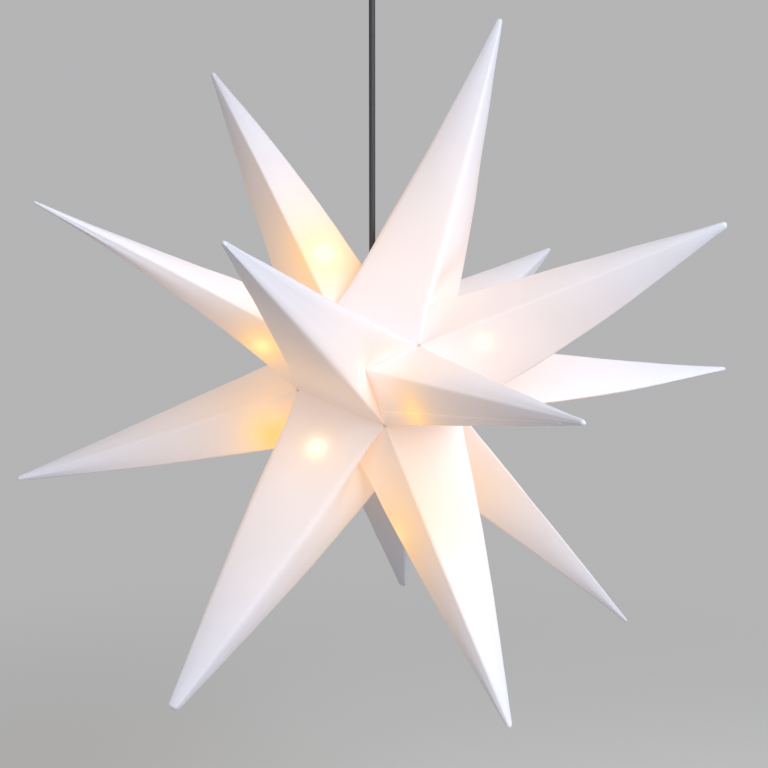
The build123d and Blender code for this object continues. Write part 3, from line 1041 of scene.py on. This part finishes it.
def ringStackTree():  # round rings one above the other, each a little narrower
    tree, keys, inside, outside = newTree("ringStack", [
        ("Count", "NodeSocketInt"),
        ("First Height", "NodeSocketFloat"),
        ("Height Step", "NodeSocketFloat"),
        ("First Radius", "NodeSocketFloat"),
        ("Radius Step", "NodeSocketFloat"),
        ("Ring Radius", "NodeSocketFloat"),
    ])
    index = newNode(tree, "GeometryNodeInputIndex").outputs[0]

    def stepped(first, step):
        grown = mathNode(tree, "MULTIPLY", index, inside.outputs[step])
        return mathNode(tree, "ADD", inside.outputs[first], grown)

    place = newNode(tree, "ShaderNodeCombineXYZ")
    tree.links.new(stepped("First Height", "Height Step"), place.inputs["Z"])
    spots = newNode(tree, "GeometryNodePoints")
    tree.links.new(inside.outputs["Count"], spots.inputs["Count"])
    tree.links.new(place.outputs[0], spots.inputs["Position"])
    circle = newNode(tree, "GeometryNodeCurvePrimitiveCircle")
    circle.inputs["Resolution"].default_value = glandRings["ringSteps"]
    circle.inputs["Radius"].default_value = 1.0
    copies = newNode(tree, "GeometryNodeInstanceOnPoints")
    tree.links.new(spots.outputs[0], copies.inputs["Points"])
    tree.links.new(circle.outputs["Curve"], copies.inputs["Instance"])
    tree.links.new(stepped("First Radius", "Radius Step"), copies.inputs["Scale"])
    loose = newNode(tree, "GeometryNodeRealizeInstances")
    tree.links.new(copies.outputs[0], loose.inputs[0])
    even = newNode(tree, "GeometryNodeSetCurveRadius")
    tree.links.new(loose.outputs[0], even.inputs["Curve"])
    even.inputs["Radius"].default_value = 1.0
    profile = newNode(tree, "GeometryNodeCurvePrimitiveCircle")
    profile.inputs["Resolution"].default_value = glandRings["tubeSteps"]
    tree.links.new(inside.outputs["Ring Radius"], profile.inputs["Radius"])
    tube = newNode(tree, "GeometryNodeCurveToMesh")
    tree.links.new(even.outputs[0], tube.inputs["Curve"])
    tree.links.new(profile.outputs["Curve"], tube.inputs["Profile Curve"])
    closeTree(tree, tube.outputs[0], inside, outside)
    return tree, keys


repeatTree, repeatKeys = ringRepeatTree()
stackTree, stackKeys = ringStackTree()


def finishPiece(thing, body):
    bakeShape(thing)
    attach(thing, body)


def addGlandRings():
    rings = linkObject("glandRings", makeMesh("glandRings", [], []))
    addTree(rings, stackTree, stackKeys, {
        "Count": glandRings["count"],
        "First Height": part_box("cord_gland")[1][2] - glandRings["below"],
        "Height Step": glandRings["heightStep"],
        "First Radius": glandRings["firstRadius"],
        "Radius Step": glandRings["radiusStep"],
        "Ring Radius": glandRings["ringRadius"],
        "Finish": slotFinish["gland"],
    })
    finishPiece(rings, "star")
    smoothMesh(rings.data)


gripRibs = {
    "count": 20,
    "radius": 0.0079,
    "thickness": 0.0007,
    "bottom": -0.0337,
    "top": -0.0303,
    "softShare": 0.5,
    "segments": 14,
}


def addGripRibs():
    size = gripRibs["thickness"]
    low = gripRibs["bottom"]
    high = gripRibs["top"]
    soft = size * gripRibs["softShare"]
    profile = [(soft, low), (size, low + soft), (size, high - soft), (soft, high)]
    mesh = latheMesh("gripRibs", profile, gripRibs["segments"])
    mesh.transform(Matrix.Translation((gripRibs["radius"], 0, 0)))
    smoothMesh(mesh)
    ribs = linkObject("gripRibs", mesh)
    addTree(ribs, repeatTree, repeatKeys, {
        "Count": gripRibs["count"],
        "Finish": slotFinish["grip"],
    })
    finishPiece(ribs, "ceiling_set")


cupScrew = {
    "count": 2,
    "seat": (0.05005, 0.0, -0.008),
    "headRadius": 0.0036,
    "headHeight": 0.0022,
    "rimHeight": 0.0008,
    "underShare": 0.94,
    "underRise": 0.0002,
    "domeSteps": 8,
    "shankRadius": 0.0019,
    "shankLength": 0.009,
    "pointShare": 0.4,
    "pointLength": 0.0012,
    "recessReach": 0.0021,
    "recessWidth": 0.0009,
    "recessDepth": 0.0013,
    "recessTaper": (0.7, 0.8),
    "cutAbove": 0.001,
    "segments": 48,
}


def screwShape():
    radius = cupScrew["headRadius"]
    rim = cupScrew["rimHeight"]
    end = -cupScrew["shankLength"]
    shank = cupScrew["shankRadius"]
    profile = [(shank * cupScrew["pointShare"], end), (shank, end + cupScrew["pointLength"])]
    profile += [(shank, 0.0), (radius * cupScrew["underShare"], 0.0)]
    profile.append((radius, cupScrew["underRise"]))
    for k in range(cupScrew["domeSteps"]):
        angle = math.pi / 2 * k / cupScrew["domeSteps"]
        rise = rim + (cupScrew["headHeight"] - rim) * math.sin(angle)
        profile.append((radius * math.cos(angle), rise))
    return latheMesh("cupScrews", profile, cupScrew["segments"])


def recessShape():
    half = cupScrew["recessWidth"] / 2
    far = cupScrew["recessReach"]
    quarter = [(far, -half), (far, half), (half, half)]
    outline = []
    for k in range(4):
        turn = Matrix.Rotation(math.pi / 2 * k, 2)
        outline += [turn @ Vector(p) for p in quarter]
    top = cupScrew["headHeight"] + cupScrew["cutAbove"]
    bottom = cupScrew["headHeight"] - cupScrew["recessDepth"]
    narrowX, narrowY = cupScrew["recessTaper"]
    points = [(p.x * narrowX, p.y * narrowY, bottom) for p in outline]
    points += [(p.x, p.y, top) for p in outline]
    count = len(outline)
    faces = [tuple(reversed(range(count))), tuple(range(count, 2 * count))]
    return makeMesh("screwRecess", points, faces + tubeFaces(2, count))


def addCupScrews():
    outward = Matrix.Translation(cupScrew["seat"]) @ Matrix.Rotation(math.pi / 2, 4, "Y")
    screws = linkObject("cupScrews", screwShape())
    screws.data.transform(outward)
    recess = linkObject("screwRecess", recessShape())
    recess.data.transform(outward)
    cut = screws.modifiers.new("recess", "BOOLEAN")
    cut.operation = "DIFFERENCE"
    cut.object = recess
    addTree(screws, repeatTree, repeatKeys, {
        "Count": cupScrew["count"],
        "Finish": slotFinish["screw_steel"],
    })
    finishPiece(screws, "ceiling_set")
    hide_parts("cup_screws")
    bpy.data.objects.remove(recess)


addGlandRings()
addGripRibs()
addCupScrews()
print("fittings: rings, ribs and screws made")

# stage and light: a pale floor that fades into the plain backdrop
stageSetup = {
    "floorDrop": 0.86,
    "floorSize": 60.0,
    "floorColour": (0.76, 0.74, 0.72, 1),
    "floorBounce": (0.40, 0.40, 0.40, 1),  # what the floor throws back on the star
    "floorRoughness": 0.9,
    "backColour": (0.46, 0.46, 0.467, 1),
    "fadeStart": 0.35,
    "fadeEnd": 1.5,
    "skyTop": 0.46,
    "skyBottom": 0.14,
    "key": {"place": (1.23, -1.46, 0.53), "size": 1.7, "power": 34.0, "colour": (0.82, 0.91, 1.0)},
    "fill": {"place": (-0.70, -1.80, 0.20), "size": 1.6, "power": 5.0, "colour": (1.0, 0.97, 0.97)},
}


def seenRays(tree):  # rays that look straight at the backdrop, or see it in metal and glass
    rays = newNode(tree, "ShaderNodeLightPath")
    seen = mathNode(tree, "MAXIMUM", rays.outputs["Is Camera Ray"], rays.outputs["Is Glossy Ray"])
    return mathNode(tree, "MAXIMUM", seen, rays.outputs["Is Transmission Ray"])


def addFloor():
    half = stageSetup["floorSize"] / 2
    low = -stageSetup["floorDrop"]
    corners = [(-half, -half, low), (half, -half, low), (half, half, low), (-half, half, low)]
    floor = linkObject("floor", makeMesh("floor", corners, [(0, 1, 2, 3)]))
    material, tree, shader, coords = newMaterial("paleFloor")
    seen = seenRays(tree)
    pale = mixColour(tree, "MIX", seen, stageSetup["floorBounce"], stageSetup["floorColour"])
    tree.links.new(pale, shader.inputs["Base Color"])
    shader.inputs["Roughness"].default_value = stageSetup["floorRoughness"]
    away = distanceTo(tree, coords, (0, 0, low))
    fade = smoothFade(tree, away, stageSetup["fadeStart"], stageSetup["fadeEnd"])
    back = newNode(tree, "ShaderNodeEmission")
    back.inputs["Color"].default_value = stageSetup["backColour"]
    mix = newNode(tree, "ShaderNodeMixShader")
    tree.links.new(mathNode(tree, "MULTIPLY", fade, seen), mix.inputs[0])
    tree.links.new(shader.outputs[0], mix.inputs[1])
    tree.links.new(back.outputs[0], mix.inputs[2])
    tree.links.new(mix.outputs[0], tree.nodes["Material Output"].inputs["Surface"])
    floor.data.materials.append(material)


def addLight(name, setup):
    data = bpy.data.lights.new(name, "AREA")
    data.shape = "DISK"
    data.size = setup["size"]
    data.energy = setup["power"]
    data.color = setup["colour"]
    lamp = linkObject(name, data)
    aimAt(lamp, setup["place"], starCentre)


def addSky():
    world = bpy.data.worlds.new("studio")
    scene.world = world
    world.use_nodes = True
    tree = world.node_tree
    tree.nodes.clear()
    light = newNode(tree, "ShaderNodeBackground")
    light.inputs["Color"].default_value = (1, 1, 1, 1)
    way = newNode(tree, "ShaderNodeSeparateXYZ")
    tree.links.new(newNode(tree, "ShaderNodeTexCoord").outputs["Generated"], way.inputs[0])
    strengths = stageSetup["skyBottom"], stageSetup["skyTop"]
    strength = smoothFade(tree, way.outputs["Z"], -1.0, 1.0, *strengths)
    tree.links.new(strength, light.inputs["Strength"])
    back = newNode(tree, "ShaderNodeBackground")
    back.inputs["Color"].default_value = stageSetup["backColour"]
    mix = newNode(tree, "ShaderNodeMixShader")
    tree.links.new(seenRays(tree), mix.inputs[0])
    tree.links.new(light.outputs[0], mix.inputs[1])
    tree.links.new(back.outputs[0], mix.inputs[2])
    tree.links.new(mix.outputs[0], newNode(tree, "ShaderNodeOutputWorld").inputs["Surface"])


addFloor()
for lightName in ("key", "fill"):
    addLight(lightName + "Light", stageSetup[lightName])
addSky()
print("stage: floor and lights set")
